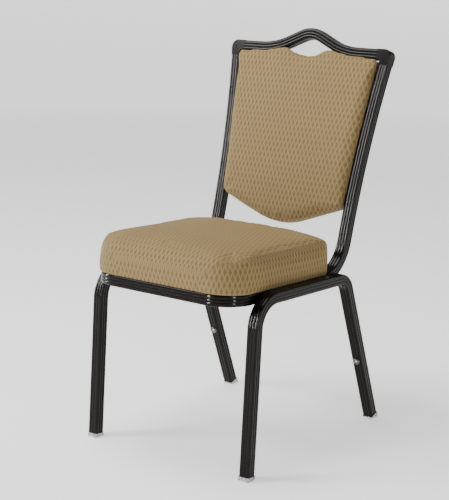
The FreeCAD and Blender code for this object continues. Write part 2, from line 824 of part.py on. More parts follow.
def seat_screws():
    """Four pan-head screws, up through the braces into the board."""
    screws = []
    under = S["brace_top"] - S["brace_depth"]
    for x, y in SCREW_SPOTS:
        head = Part.makeCylinder(S["screw_head"] / 2, 3.0, Vector(x, y, under - 3.1))
        head = head.makeFillet(1.2, [edge for edge in head.Edges if flat_at("Z", under - 3.1)(edge)])
        shank = Part.makeCylinder(S["screw_dia"] / 2, 24.0, Vector(x, y, under - 0.6))
        recess = Part.makeCylinder(1.9, 1.6, Vector(x, y, under - 3.2))
        screws.append(head.fuse(shank).cut(recess).removeSplitter())
    group = feature("seat_screws", Part.makeCompound(screws))
    group.Placement = seat_plane


def seat_tee_nuts():
    """Four flanged nuts sunk into the top of the board."""
    nuts = []
    top = S["board_base"] + S["board_thick"]
    for x, y in SCREW_SPOTS:
        flange = Part.makeCylinder(S["tee_nut_dia"] / 2, 1.3, Vector(x, y, top - 1.4))
        barrel = Part.makeCylinder(3.6, 8.0, Vector(x, y, top - 9.4))
        bore = Part.makeCylinder(S["screw_dia"] / 2 + 0.1, 10.0, Vector(x, y, top - 9.6))
        nuts.append(flange.fuse(barrel).cut(bore).removeSplitter())
    group = feature("seat_tee_nuts", Part.makeCompound(nuts))
    group.Placement = seat_plane


def weld_pads(name, side):
    """Two short packers welded between the seat arm and the leg loop's side rail."""
    blocks = []
    length, height = S["weld_pad_length"], S["weld_pad_height"]
    for depth in (S["weld_pad_front"], S["weld_pad_rear"]):
        inside = arm_half(depth) + HALF + TOUCH / 2
        outside = S["loop_offset"] - math.tan(math.radians(S["loop_toe"])) * depth - HALF - TOUCH / 2
        low = inside if side > 0 else -outside
        corner = Vector(low, depth - length / 2, -height / 2)
        blocks.append(Part.makeBox(outside - inside, length, height, corner))
    group = feature("weld_pads_" + name, Part.makeCompound(blocks))
    group.Placement = seat_plane


# ---------------------------------------------------------------- back pad

# Right half of the pad's outline in the back plane: across, up and the bend's radius
PAD_TIP = (0.0, 86.0, 155.0)
PAD_RIGHT = [
    (166.8, 150.0, 24.0),
    (172.5, 290.0, 1500.0),
    (192.0, 490.0, 10.0),
    (120.0, 489.5, 150.0),
    (60.0, 501.5, 20.0),
]
PAD_DIP = (0.0, 487.0, 70.0)
PAD_LEFT = [(-x, level, radius) for x, level, radius in reversed(PAD_RIGHT)]
PAD_POINTS = [PAD_TIP] + PAD_RIGHT + [PAD_DIP] + PAD_LEFT
PAD_CORNERS = [(x, level) for x, level, radius in PAD_POINTS]
PAD_RADII = [radius for x, level, radius in PAD_POINTS]

panel_rear = -(HALF - S["rib_crown"])
strap_rear = panel_rear + S["panel_thick"] + TOUCH
board_rear = strap_rear + S["strap_thick"] + TOUCH
board_front = board_rear + S["back_board_thick"]
BACK_SCREWS = [
    (side * S["back_screw_out"], S[row])
    for row in ("strap_low", "strap_high") for side in (-1, 1)
]


def back_sketch(piece, name, level):
    """A sketch parallel to the back plane, a distance in front of the tubes' centre."""
    return sketch(piece, name, "XZ_Plane", Placement(Vector(0, 0, level), Rotation()))


def back_outer_panel():
    """Thin covered panel that closes the rear of the pad."""
    piece = body("back_outer_panel", back_plane)
    drawing = back_sketch(piece, "back_outer_panel_outline", panel_rear)
    outline(drawing, PAD_CORNERS, PAD_RADII, 1.0)
    pad(piece, drawing, "back_outer_panel_sheet", cell("panel_thick"))


def back_edge_trim():
    """Pale edging round the pad, notched where the straps pass."""
    piece = body("back_edge_trim", back_plane)
    drawing = back_sketch(piece, "back_edge_trim_outline", strap_rear)
    outline(drawing, PAD_CORNERS, PAD_RADII)
    outline(drawing, PAD_CORNERS, PAD_RADII, S["trim_width"])
    pad(piece, drawing, "back_edge_trim_ring", cell("strap_thick"))
    notch = back_sketch(piece, "back_edge_trim_notches", strap_rear - 1)
    for row in ("strap_low", "strap_high"):
        formula = "Sizes.%s - Sizes.strap_height / 2 - %r" % (row, SOFT_GAP)
        low = (S[row] - S["strap_height"] / 2 - SOFT_GAP, formula)
        high = (S["strap_height"] + 2 * SOFT_GAP, "Sizes.strap_height + %r" % (2 * SOFT_GAP))
        rectangle(notch, cell("crown_end", -1.0), low, cell("crown_end", 2.0), high)
    pocket(piece, notch, "back_edge_trim_notched", plain(S["strap_thick"] + 2), True)


def back_strap(name, row):
    """Flat steel strap welded between the uprights; the back board screws to it."""
    piece = body("back_strap_" + name, back_plane)
    low = S[row] - S["strap_height"] / 2
    half = upright_centre(low) - HALF - 0.15
    drawing = back_sketch(piece, piece.Label + "_outline", strap_rear)
    base = (low, "Sizes.%s - Sizes.strap_height / 2" % row)
    rectangle(drawing, plain(-half), base, plain(2 * half), cell("strap_height"))
    pad(piece, drawing, piece.Label + "_bar", cell("strap_thick"))
    spots = [spot for spot in BACK_SCREWS if spot[1] == S[row]]
    drilled = ("drilled", S["back_screw_dia"] / 2 + 0.3, 6.0)
    counterbored = ("counterbored", S["back_screw_head"] / 2 + 0.2, 1.5)
    for title, radius, deep in (drilled, counterbored):
        ring = back_sketch(piece, piece.Label + "_" + title + "_rings", strap_rear)
        for x, y in spots:
            circle(ring, plain(x), plain(y), plain(radius))
        pocket(piece, ring, piece.Label + "_" + title, plain(deep), True)


def back_board():
    """Plywood board inside the pad, with pilot holes for the strap screws."""
    piece = body("back_board", back_plane)
    drawing = back_sketch(piece, "back_board_outline", board_rear)
    outline(drawing, PAD_CORNERS, PAD_RADII, 2.2)
    pad(piece, drawing, "back_board_sheet", cell("back_board_thick"))
    ring = back_sketch(piece, "back_board_pilot_rings", board_rear)
    for x, y in BACK_SCREWS:
        circle(ring, plain(x), plain(y), plain(S["back_screw_dia"] / 2 + 0.1))
    pocket(piece, ring, "back_board_pilots", plain(S["back_board_thick"] - 0.8), True)


def back_block(label, rear, gap, kept=True):
    """The back pad's rounded block, smaller than its outside by the gap."""
    piece = body(label, back_plane, kept)
    front = S["pad_front"] - gap
    drawing = back_sketch(piece, label + "_outline", rear)
    outline(drawing, PAD_CORNERS, PAD_RADII, gap)
    block = pad(piece, drawing, label + "_block", (front - rear, "Sizes.pad_front - %r" % (rear + gap)))
    edge_radius = (S["pad_edge"] - gap, "Sizes.pad_edge - %r" % gap)
    fillet(piece, block, label + "_round", edge_radius, flat_at("Y", -front))
    return piece


def back_foam():
    back_block("back_foam", board_front + 0.1, S["cloth_thick"] + SOFT_GAP)


def back_cover():
    """Front fabric of the pad: a thin shell over board and foam."""
    outer = back_block("back_cover_outer", board_rear, 0.0, False)
    core = back_block("back_cover_core", board_rear - 5, S["cloth_thick"], False)
    hollowed("back_cover", outer, core)


def back_screws():
    """Four flat-head screws through the straps into the board."""
    screws = []
    for x, y in BACK_SCREWS:
        front = Vector(0, -1, 0)
        head = Part.makeCylinder(S["back_screw_head"] / 2, 1.3, Vector(x, -(strap_rear + 0.1), y), front)
        shank = Part.makeCylinder(S["back_screw_dia"] / 2, 8.0, Vector(x, -(strap_rear + 0.5), y), front)
        screws.append(head.fuse(shank).removeSplitter())
    group = feature("back_screws", Part.makeCompound(screws))
    group.Placement = back_plane


# ---------------------------------------------------------------- assembly

for name, side in SIDES:
    leg_loop(name, side)
    back_upright(name, side)
    corner_knuckle(name, side)
    glide("front_" + name, side, -S["foot_half"], front_slope)
    glide("rear_" + name, side, S["foot_half"], rear_slope)
    stack_bumper(name, side)
    weld_pads(name, side)
seat_rail()
crown_rail()
bumper_rivets()
seat_brace("front", "brace_front")
seat_brace("rear", "brace_rear")
seat_board()
seat_foam()
seat_cover()
seat_dust_cover()
seat_screws()
seat_tee_nuts()
back_outer_panel()
back_edge_trim()
back_strap("low", "strap_low")
back_strap("high", "strap_high")
back_board()
back_foam()
back_cover()
back_screws()
doc.recompute()

problems = []
for item in doc.Objects:
    if "Invalid" in item.State or "Error" in item.State:
        problems.append("%s is %s" % (item.Name, item.State))
for piece in SUB_PARTS:
    shape = piece.Shape
    if shape.isNull() or not shape.isValid() or not shape.Solids:
        problems.append("%s has no sound solid" % piece.Label)
if problems:
    raise RuntimeError("; ".join(problems))

for piece in SUB_PARTS:
    piece.Shape.exportStep("parts/%s.step" % piece.Label)
    print("%-24s solids %d volume %10.1f" % (piece.Label, len(piece.Shape.Solids), piece.Shape.Volume))
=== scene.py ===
"""Looks of the stacking chair: crowned fabric cushion and back pad, and the dark fluted frame.

Everything is in metres in the row frame. The soft pieces are built in two tilted planes, the
seat's and the back's, whose places are read from the CAD nodes.
"""
import json
import math

import bpy
import numpy as np
from mathutils import Matrix, Vector
from mathutils.bvhtree import BVHTree
from mathutils.kdtree import KDTree


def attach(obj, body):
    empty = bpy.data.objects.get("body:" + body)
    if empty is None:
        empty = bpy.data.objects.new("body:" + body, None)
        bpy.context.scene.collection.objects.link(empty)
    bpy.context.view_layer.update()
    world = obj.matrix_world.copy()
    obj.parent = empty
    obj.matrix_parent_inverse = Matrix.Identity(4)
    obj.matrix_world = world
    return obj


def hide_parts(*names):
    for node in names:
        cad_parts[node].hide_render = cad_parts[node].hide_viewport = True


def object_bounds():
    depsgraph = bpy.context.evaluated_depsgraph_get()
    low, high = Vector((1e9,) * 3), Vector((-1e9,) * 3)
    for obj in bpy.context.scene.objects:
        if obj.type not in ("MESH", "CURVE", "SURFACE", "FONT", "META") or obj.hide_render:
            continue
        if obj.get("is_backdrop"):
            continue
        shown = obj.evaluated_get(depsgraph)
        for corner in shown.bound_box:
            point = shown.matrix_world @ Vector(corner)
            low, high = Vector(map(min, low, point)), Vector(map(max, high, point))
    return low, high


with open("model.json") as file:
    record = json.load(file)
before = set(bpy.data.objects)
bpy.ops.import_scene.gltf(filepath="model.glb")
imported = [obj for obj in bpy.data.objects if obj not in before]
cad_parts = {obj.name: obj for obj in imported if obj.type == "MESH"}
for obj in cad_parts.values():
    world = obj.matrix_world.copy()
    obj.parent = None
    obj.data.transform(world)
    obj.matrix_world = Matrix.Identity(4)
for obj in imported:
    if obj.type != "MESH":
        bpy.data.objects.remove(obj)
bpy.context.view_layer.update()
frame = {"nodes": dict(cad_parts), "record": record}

MM = 0.001
SEAT_TILT = math.radians(-2.3)
BACK_TILT = math.radians(-15.6)
NODES = frame["nodes"]
SCENE = bpy.context.scene
WEAVE_MAP = "weave"


# ---------------------------------------------------------------- tilted planes

def to_plane(points, tilt):
    """Row-frame points as across, depth and height in a plane tilted about X."""
    turn = np.array(Matrix.Rotation(-tilt, 3, "X"))
    return points @ turn.T


def from_plane(points, tilt):
    """Points across, deep and high in a tilted plane, back in the row frame."""
    turn = np.array(Matrix.Rotation(tilt, 3, "X"))
    return np.asarray(points, float) @ turn.T


def node_points(node):
    """Points of a CAD node in the row frame."""
    mesh = NODES[node].data
    points = np.empty(len(mesh.vertices) * 3)
    mesh.vertices.foreach_get("co", points)
    return points.reshape(-1, 3)


def plane_box(node, tilt):
    """Lowest and highest corner of a CAD node along a tilted plane's own axes."""
    points = to_plane(node_points(node), tilt)
    return points.min(0), points.max(0)


# ---------------------------------------------------------------- mesh helpers

def shade_smooth(mesh):
    mesh.polygons.foreach_set("use_smooth", [True] * len(mesh.polygons))


def linked(name, data):
    """A new object in the scene."""
    made = bpy.data.objects.new(name, data)
    SCENE.collection.objects.link(made)
    return made


def new_object(name, points, faces):
    """A smooth mesh object from its points and faces."""
    mesh = bpy.data.meshes.new(name)
    mesh.from_pydata([tuple(p) for p in points], [], faces)
    mesh.update()
    shade_smooth(mesh)
    return linked(name, mesh)


def ring_faces(rings, count):
    """Quads between consecutive closed rings of the same number of points."""
    faces = []
    for ring in range(rings - 1):
        low = ring * count
        high = low + count
        for k in range(count):
            j = (k + 1) % count
            faces.append((low + k, low + j, high + j, high + k))
    return faces


def closed_form(name, rings, tilt):
    """A closed mesh through rings of equal count, capped at both ends."""
    count = len(rings[0])
    points = np.vstack(rings)
    faces = ring_faces(len(rings), count)
    faces.append(tuple(range(count - 1, -1, -1)))
    faces.append(tuple(range(len(points) - count, len(points))))
    return new_object(name, from_plane(points, tilt), faces)


def read_points(piece):
    points = np.empty(len(piece.data.vertices) * 3)
    piece.data.vertices.foreach_get("co", points)
    return points.reshape(-1, 3)


def write_points(piece, points):
    piece.data.vertices.foreach_set("co", np.asarray(points, float).ravel())
    piece.data.update()


def apply_modifiers(piece):
    """Replaces a piece's mesh by its modified one."""
    bpy.context.view_layer.update()
    graph = bpy.context.evaluated_depsgraph_get()
    baked = bpy.data.meshes.new_from_object(piece.evaluated_get(graph))
    old = piece.data
    piece.modifiers.clear()
    piece.data = baked
    bpy.data.meshes.remove(old)


def remesh(piece, voxel):
    step = piece.modifiers.new("remesh", "REMESH")
    step.mode = "VOXEL"
    step.voxel_size = voxel
    step.use_smooth_shade = True
    apply_modifiers(piece)


def smooth_points(piece, rounds, factor):
    step = piece.modifiers.new("smooth", "SMOOTH")
    step.iterations = rounds
    step.factor = factor
    apply_modifiers(piece)


SWELL_PRESSURE = 3.0
SWELL_MOST = 3 * MM
SWELL_FRAMES = 20


def puff(piece, held):
    """Swells a closed mesh a little with cloth pressure. The held points stay, and none moves further
    than SWELL_MOST."""
    rest = read_points(piece)
    group = piece.vertex_groups.new(name="held")
    for index in np.nonzero(held(rest))[0]:
        group.add([int(index)], 1.0, "REPLACE")
    cloth = piece.modifiers.new("cloth", "CLOTH")
    settings = cloth.settings
    settings.quality = 5
    settings.mass = 0.3
    settings.tension_stiffness = 20
    settings.compression_stiffness = 20
    settings.shear_stiffness = 10
    settings.bending_stiffness = 4
    settings.air_damping = 4
    settings.use_pressure = True
    settings.uniform_pressure_force = SWELL_PRESSURE
    settings.vertex_group_mass = "held"
    settings.effector_weights.gravity = 0
    cloth.collision_settings.use_collision = False
    cloth.collision_settings.use_self_collision = False
    cloth.point_cache.frame_start = 1
    cloth.point_cache.frame_end = SWELL_FRAMES
    for number in range(1, SWELL_FRAMES + 1):
        SCENE.frame_set(number)
    apply_modifiers(piece)
    SCENE.frame_set(1)
    moved = read_points(piece) - rest
    length = np.linalg.norm(moved, axis=1)
    scale = np.where(length > SWELL_MOST, SWELL_MOST / np.maximum(length, 1e-9), 1.0)
    write_points(piece, rest + moved * scale[:, None])


def soften(piece, held):
    """Turns a rough form into a soft one: remeshed, swollen by cloth pressure and smoothed."""
    remesh(piece, 4 * MM)
    smooth_points(piece, 2, 0.5)
    puff(piece, held)
    smooth_points(piece, 2, 0.4)
    step = piece.modifiers.new("finer", "SUBSURF")
    step.levels = 1
    step.render_levels = 1
    apply_modifiers(piece)
    shade_smooth(piece.data)


def smoothstep(low, high, value):
    """0 at low, 1 at high, and an even S between them."""
    share = np.clip((np.asarray(value, float) - low) / (high - low), 0, 1)
    return share * share * (3 - 2 * share)


def set_uv(piece, finder):
    """Writes a weave map in metres. The finder gets corner points and face centres in the row frame."""
    mesh = piece.data
    points = read_points(piece)
    count = len(mesh.loops)
    vertex = np.empty(count, np.int32)
    mesh.loops.foreach_get("vertex_index", vertex)
    face = np.repeat(np.arange(len(mesh.polygons)), [p.loop_total for p in mesh.polygons])
    centre = np.empty(len(mesh.polygons) * 3)
    mesh.polygons.foreach_get("center", centre)
    layer = mesh.uv_layers.new(name=WEAVE_MAP)
    layer.data.foreach_set("uv", finder(points[vertex], centre.reshape(-1, 3)[face]).ravel())


def cords(name, lines, radius):
    """Thin round cords, one along each list of points, as one mesh."""
    curve = bpy.data.curves.new(name, "CURVE")
    curve.dimensions = "3D"
    curve.bevel_depth = radius
    curve.bevel_resolution = 2
    curve.use_fill_caps = True
    for points in lines:
        spline = curve.splines.new("POLY")
        spline.points.add(len(points) - 1)
        for mark, point in zip(spline.points, points):
            mark.co = (*point, 1)
    holder = linked(name + "_line", curve)
    bpy.context.view_layer.update()
    mesh = bpy.data.meshes.new_from_object(holder.evaluated_get(bpy.context.evaluated_depsgraph_get()))
    bpy.data.objects.remove(holder)
    shade_smooth(mesh)
    return linked(name, mesh)


def nearest(points, line):
    """Index of the nearest point of a line, and the distance to it, for each point."""
    tree = KDTree(len(line))
    for index, mark in enumerate(line):
        tree.insert(mark, index)
    tree.balance()
    found = [tree.find(point) for point in points]
    return np.array([f[1] for f in found]), np.array([f[2] for f in found])


def onto(piece, points, lift):
    """Each point moved to the nearest place on a piece's surface, and lifted off it a little."""
    tree = BVHTree.FromPolygons([v.co for v in piece.data.vertices],
                                [p.vertices for p in piece.data.polygons])
    landed = []
    for point in points:
        spot, normal = tree.find_nearest(Vector(point))[:2]
        landed.append(spot + normal * lift)
    return np.array(landed)


def evened(points):
    """A line with its small wobbles averaged out. Its ends stay."""
    line = np.array(points)
    for _ in range(6):
        line[1:-1] = (line[:-2] + 2 * line[1:-1] + line[2:]) / 4
    return line


def lengths_along(points):
    """Distance along a line of points, from its start to each of them."""
    return np.concatenate([[0], np.cumsum(np.linalg.norm(np.diff(points, axis=0), axis=1))])


def sampled(points, lengths, marks):
    """The values of a line of points at some distances along it."""
    return np.stack([np.interp(marks, lengths, column) for column in points.T], 1)


def pinch(piece, line, depth, width):
    """Draws the surface in along a seam."""
    points = read_points(piece)
    normals = np.empty(len(piece.data.vertices) * 3)
    piece.data.vertices.foreach_get("normal", normals)
    distance = nearest(points, line)[1]
    share = depth * np.exp(-(distance / width) ** 2)
    write_points(piece, points - normals.reshape(-1, 3) * share[:, None])


def dress(piece, material):
    """Gives a piece its material and its place on the chair."""
    piece.data.materials.clear()
    piece.data.materials.append(material)
    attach(piece, "root")
    return piece


# ---------------------------------------------------------------- materials

class Nodes:
    """A short way to write a material's node tree. Places are in metres, so a noise scale is
    about the number of bumps in a metre."""

    def __init__(self, name):
        self.material = bpy.data.materials.new(name)
        self.material.use_nodes = True
        self.tree = self.material.node_tree
        self.shader = self.tree.nodes["Principled BSDF"]

    def add(self, kind, **settings):
        node = self.tree.nodes.new("ShaderNode" + kind)
        for key, value in settings.items():
            setattr(node, key, value)
        return node

    def link(self, source, target):
        self.tree.links.new(source, target)

    def put(self, socket, value):
        """Gives a socket a number, a colour or another node's output."""
        if isinstance(value, bpy.types.NodeSocket):
            self.link(value, socket)
        elif isinstance(value, tuple):
            socket.default_value = (*value, 1)
        else:
            socket.default_value = value

    def math(self, operation, *values, clamp=False):
        node = self.add("Math", operation=operation, use_clamp=clamp)
        for socket, value in zip(node.inputs, values):
            self.put(socket, value)
        return node.outputs[0]

    def mix(self, share, first, second):
        """Mixes two colours. The colour sockets of a mix node are its seventh and eighth."""
        node = self.add("Mix", data_type="RGBA")
        for index, value in ((0, share), (6, first), (7, second)):
            self.put(node.inputs[index], value)
        return node.outputs[2]

    def noise(self, vector, scale, detail=3.0, rough=0.55):
        node = self.add("TexNoise")
        node.inputs["Scale"].default_value = scale
        node.inputs["Detail"].default_value = detail
        node.inputs["Roughness"].default_value = rough
        self.link(vector, node.inputs["Vector"])
        return node.outputs["Fac"]

    def ramp(self, value, low, high):
        """Takes low to high onto 0 to 1, and stops there."""
        node = self.add("MapRange", clamp=True)
        node.inputs["From Min"].default_value = low
        node.inputs["From Max"].default_value = high
        self.link(value, node.inputs["Value"])
        return node.outputs[0]

    def place(self):
        """The piece's own coordinates."""
        return self.add("TexCoord").outputs["Object"]

    def bump(self, height, strength, distance):
        node = self.add("Bump")
        node.inputs["Strength"].default_value = strength
        node.inputs["Distance"].default_value = distance
        self.link(height, node.inputs["Height"])
        return node.outputs[0]

    def set(self, **values):
        """Fills in the shader's sockets by name."""
        for key, value in values.items():
            self.put(self.shader.inputs[key.replace("_", " ")], value)


# The pattern's repeat across and up, and the pitch of the weave
DIAMOND_WIDE = 10.9 * MM
DIAMOND_HIGH = 27.0 * MM
THREAD = 0.62 * MM


def fabric_material():
    """Tan jacquard: dark upright diamonds inside a lattice of lighter thread."""
    n = Nodes("jacquard_fabric")
    split = n.add("SeparateXYZ")
    weave = n.add("UVMap")
    weave.uv_map = WEAVE_MAP
    n.link(weave.outputs[0], split.inputs[0])
    place = n.place()
    wander = n.math("MULTIPLY", n.math("SUBTRACT", n.noise(place, 70.0, 2.0), 0.5), 1.2 * MM)
    across = n.math("ADD", split.outputs[0], wander)
    up = n.math("ADD", split.outputs[1], wander)

    # 0 in the middle of a diamond and 1 on the lattice lines around it
    edges = []
    for sense in ("ADD", "SUBTRACT"):
        slant = n.math(sense, n.math("DIVIDE", across, DIAMOND_WIDE), n.math("DIVIDE", up, DIAMOND_HIGH))
        edges.append(n.math("ABSOLUTE", n.math("SUBTRACT", n.math("FRACT", slant), 0.5)))
    reach = n.math("MULTIPLY", n.math("MAXIMUM", *edges), 2.0)
    spot = n.math("SUBTRACT", 1.0, n.ramp(reach, 0.26, 0.80), clamp=True)
    line = n.ramp(reach, 0.80, 0.97)

    # crossing threads
    warp = n.math("SINE", n.math("MULTIPLY", split.outputs[0], 2 * math.pi / THREAD))
    weft = n.math("SINE", n.math("MULTIPLY", split.outputs[1], 2 * math.pi / THREAD))
    thread = n.math("MULTIPLY", warp, weft)
    fuzz = n.noise(place, 900.0, 2.0)
    patch = n.noise(place, 9.0, 3.0)

    ground = n.mix(n.ramp(patch, 0.3, 0.7), (0.240, 0.160, 0.059), (0.270, 0.182, 0.069))
    dark = n.mix(n.ramp(fuzz, 0.3, 0.7), (0.088, 0.053, 0.020), (0.120, 0.076, 0.031))
    light = n.mix(line, ground, (0.325, 0.233, 0.098))

    # painted sheen: on upward faces, such as the top of the seat, the diamonds show less, as if sheen washed
    # them out
    facing = n.add("SeparateXYZ")
    n.link(n.add("NewGeometry").outputs["Normal"], facing.inputs[0])
    sheen_fade = n.math("SUBTRACT", 1.0, n.math("MULTIPLY", n.ramp(facing.outputs[2], 0.55, 0.95), 0.62))
    share = n.math("MULTIPLY", spot, n.math("ADD", n.math("MULTIPLY", patch, 0.3), 0.42))
    share = n.math("MULTIPLY", share, sheen_fade)
    colour = n.mix(share, light, dark)
    glint = n.math("MULTIPLY", thread, 0.05)
    shade = n.math("ADD", glint, n.math("ADD", n.math("MULTIPLY", fuzz, 0.16), 0.92))
    tone = n.add("VectorMath", operation="SCALE")
    n.link(colour, tone.inputs[0])
    n.link(shade, tone.inputs["Scale"])

    height = n.math("ADD", n.math("MULTIPLY", line, 0.55), n.math("MULTIPLY", thread, 0.22))
    height = n.math("ADD", height, n.math("MULTIPLY", fuzz, 0.35))
    rough = n.math("SUBTRACT", 0.82, n.math("MULTIPLY", line, 0.14))
    n.set(Base_Color=tone.outputs[0], Roughness=rough, Normal=n.bump(height, 0.35, 0.4 * MM))
    n.set(Sheen_Weight=0.14, Sheen_Roughness=0.35, Sheen_Tint=(1.0, 0.86, 0.62), Specular_IOR_Level=0.2)
    return n.material


def stitch_material():
    """Thread of the seams, in the cloth's lighter tan."""
    n = Nodes("seam_thread")
    place = n.place()
    twist = n.noise(place, 1400.0, 2.0)
    n.set(Base_Color=n.mix(twist, (0.215, 0.150, 0.068), (0.300, 0.215, 0.102)), Roughness=0.8)
    n.set(Normal=n.bump(twist, 0.5, 0.3 * MM), Sheen_Weight=0.2, Specular_IOR_Level=0.3)
    return n.material


def frame_material():
    """Very dark brown powder coat with a fine orange peel and a clear gloss."""
    n = Nodes("dark_powder_coat")
    place = n.place()
    peel = n.noise(place, 420.0, 2.0)
    drift = n.noise(place, 14.0, 4.0)
    fleck = n.ramp(n.noise(place, 2600.0, 1.0), 0.60, 0.78)
    base = n.mix(n.ramp(drift, 0.3, 0.7), (0.0042, 0.0025, 0.0021), (0.0072, 0.0043, 0.0037))
    n.set(Base_Color=n.mix(n.math("MULTIPLY", fleck, 0.12), base, (0.030, 0.024, 0.022)))
    dull = n.math("MULTIPLY", drift, 0.08)
    rough = n.math("ADD", dull, n.math("ADD", n.math("MULTIPLY", peel, 0.04), 0.09))
    n.set(Roughness=rough, Normal=n.bump(peel, 0.10, 0.4 * MM))
    n.set(Metallic=0.0, Specular_IOR_Level=0.13)
    return n.material


def steel_material(name, tone):
    """Bare plated steel with a fine grain."""
    n = Nodes(name)
    place = n.place()
    grain = n.noise(place, 1500.0, 3.0)
    n.set(Base_Color=n.mix(grain, tuple(0.8 * t for t in tone), tone), Metallic=1.0)
    n.set(Roughness=n.math("ADD", n.math("MULTIPLY", grain, 0.2), 0.28), Normal=n.bump(grain, 0.15, 0.2 * MM))
    return n.material


def glide_material():
    """Frosted clear plastic with pale specks painted into its colour as sparkle highlights."""
    n = Nodes("frosted_glide_plastic")
    place = n.place()
    cloud = n.noise(place, 160.0, 4.0)
    sparkle_highlight = n.ramp(n.noise(place, 420.0, 3.0), 0.44, 0.60)
    # painted highlights: pale specks in the base colour stand in for sparkle
    n.set(Base_Color=n.mix(sparkle_highlight, (0.16, 0.17, 0.19), (0.90, 0.92, 0.95)), Roughness=n.ramp(cloud, -0.6, 2.2))
    n.set(Normal=n.bump(cloud, 0.9, 1.6 * MM), Transmission_Weight=0.35, IOR=1.49, Specular_IOR_Level=0.6)
    return n.material


def bumper_material():
    """Smoky clear plastic."""
    n = Nodes("clear_grey_bumper")
    place = n.place()
    cloud = n.noise(place, 260.0, 3.0)
    n.set(Base_Color=n.mix(cloud, (0.055, 0.055, 0.060), (0.13, 0.13, 0.135)), Roughness=0.32)
    n.set(Normal=n.bump(cloud, 0.2, 0.4 * MM), Transmission_Weight=0.15, IOR=1.49, Coat_Weight=0.3)
    return n.material


def board_material():
    """Plywood: long grain, thin plies showing at the edges."""
    n = Nodes("plywood")
    place = n.place()
    stretch = n.add("Mapping")
    stretch.inputs["Scale"].default_value = (14.0, 150.0, 150.0)
    n.link(place, stretch.inputs["Vector"])
    grain = n.noise(stretch.outputs[0], 1.0, 6.0, 0.6)
    n.set(Base_Color=n.mix(grain, (0.36, 0.22, 0.11), (0.62, 0.44, 0.26)), Roughness=0.65)
    n.set(Normal=n.bump(grain, 0.25, 0.6 * MM))
    return n.material


def foam_material():
    """Cream foam with open cells."""
    n = Nodes("cushion_foam")
    place = n.place()
    cells = n.noise(place, 700.0, 4.0)
    n.set(Base_Color=n.mix(cells, (0.62, 0.54, 0.34), (0.80, 0.74, 0.54)), Roughness=0.95)
    n.set(Normal=n.bump(cells, 0.8, 0.8 * MM))
    return n.material


def dust_material():
    """Black nonwoven cloth with its dotted bonding marks."""
    n = Nodes("black_dust_cloth")
    place = n.place()
    fibres = n.noise(place, 900.0, 4.0)
    dots = n.add("TexVoronoi")
    dots.inputs["Scale"].default_value = 420.0
    dots.inputs["Randomness"].default_value = 0.15
    n.link(place, dots.inputs["Vector"])
    n.set(Base_Color=n.mix(fibres, (0.008, 0.008, 0.008), (0.028, 0.027, 0.026)), Roughness=0.9)
    n.set(Normal=n.bump(dots.outputs["Distance"], 0.4, 0.4 * MM), Sheen_Weight=0.15)
    return n.material


def edging_material():
    """Pale grey edge trim."""
    n = Nodes("grey_edging")
    place = n.place()
    grain = n.noise(place, 700.0, 3.0)
    n.set(Base_Color=n.mix(grain, (0.33, 0.31, 0.28), (0.46, 0.43, 0.39)), Roughness=0.55)
    n.set(Normal=n.bump(grain, 0.2, 0.3 * MM))
    return n.material


FABRIC = fabric_material()
STITCH = stitch_material()
FINISHES = {
    "frame_finish": frame_material(),
    "strap_steel": frame_material(),
    "fabric_pattern": FABRIC,
    "foam": foam_material(),
    "plywood": board_material(),
    "dust_cloth": dust_material(),
    "edging": edging_material(),
    "screw_steel": steel_material("zinc_screws", (0.50, 0.50, 0.49)),
    "glide_plastic": glide_material(),
    "bumper_plastic": bumper_material(),
}
for subpart in frame["record"]["subparts"]:
    for holder in NODES[subpart["node"]].material_slots:
        holder.material = FINISHES[subpart["material_slot"]]


# ---------------------------------------------------------------- seat cushion

SEAT_LOW, SEAT_HIGH = plane_box("seat_cover", SEAT_TILT)
RAIL_TOP = plane_box("seat_rail", SEAT_TILT)[1][2]
HALF_WIDE = SEAT_HIGH[0]
FRONT = SEAT_LOW[1]
REAR = SEAT_HIGH[1]
BASE = RAIL_TOP + 0.3 * MM          # underside, just clear of the rail
CREASE = SEAT_HIGH[2] - 12.0 * MM   # height of the top's edge
CROWN = 13.5 * MM                   # rise of the top above its edge
LIP = 3.0 * MM                      # how far the rough sides reach below the underside
TUCK = 14 * MM                      # how far the underside stands in from the sides

# Corners in plan, and the roundings from the top into the sides
FRONT_CORNER = 70 * MM
REAR_CORNER = 30 * MM
SIDE_ROUND = 9 * MM
FRONT_ROUND = 40 * MM
REAR_ROUND = 20 * MM

# The crown's squareness across, the share of it lost at the front, and where that loss starts and ends
CROWN_SQUARE = 2.8
FRONT_LOSS = 0.45
LOSS_STARTS = FRONT + 130 * MM
LOSS_ENDS = FRONT + 20 * MM

# Distance round the outline, from the middle of the front, at the two ends of a front corner
STRAIGHT = HALF_WIDE - FRONT_CORNER
ARC_END = STRAIGHT + FRONT_CORNER * math.pi / 2

SEAT_RING = 360
CORNER_STEPS = 24
ROUND_STEPS = 8


def seat_outline():
    """The cushion's outline, evenly spaced, and its outward normals."""
    middle = (FRONT + REAR) / 2
    corners = [
        (HALF_WIDE, FRONT, FRONT_CORNER, -90), (HALF_WIDE, REAR, REAR_CORNER, 0),
        (-HALF_WIDE, REAR, REAR_CORNER, 90), (-HALF_WIDE, FRONT, FRONT_CORNER, 180),
    ]
    marks = []
    for x, y, radius, start in corners:
        cx = x - math.copysign(radius, x)
        cy = y - math.copysign(radius, y - middle)
        for step in range(CORNER_STEPS + 1):
            angle = math.radians(start + 90 * step / CORNER_STEPS)
            nx, ny = math.cos(angle), math.sin(angle)
            marks.append((cx + radius * nx, cy + radius * ny, nx, ny))
    marks = np.array(marks + marks[:1])
    lengths = lengths_along(marks[:, :2])
    ring = sampled(marks, lengths, np.linspace(0, lengths[-1], SEAT_RING, endpoint=False))
    normal = ring[:, 2:] / np.linalg.norm(ring[:, 2:], axis=1)[:, None]
    return ring[:, :2], normal


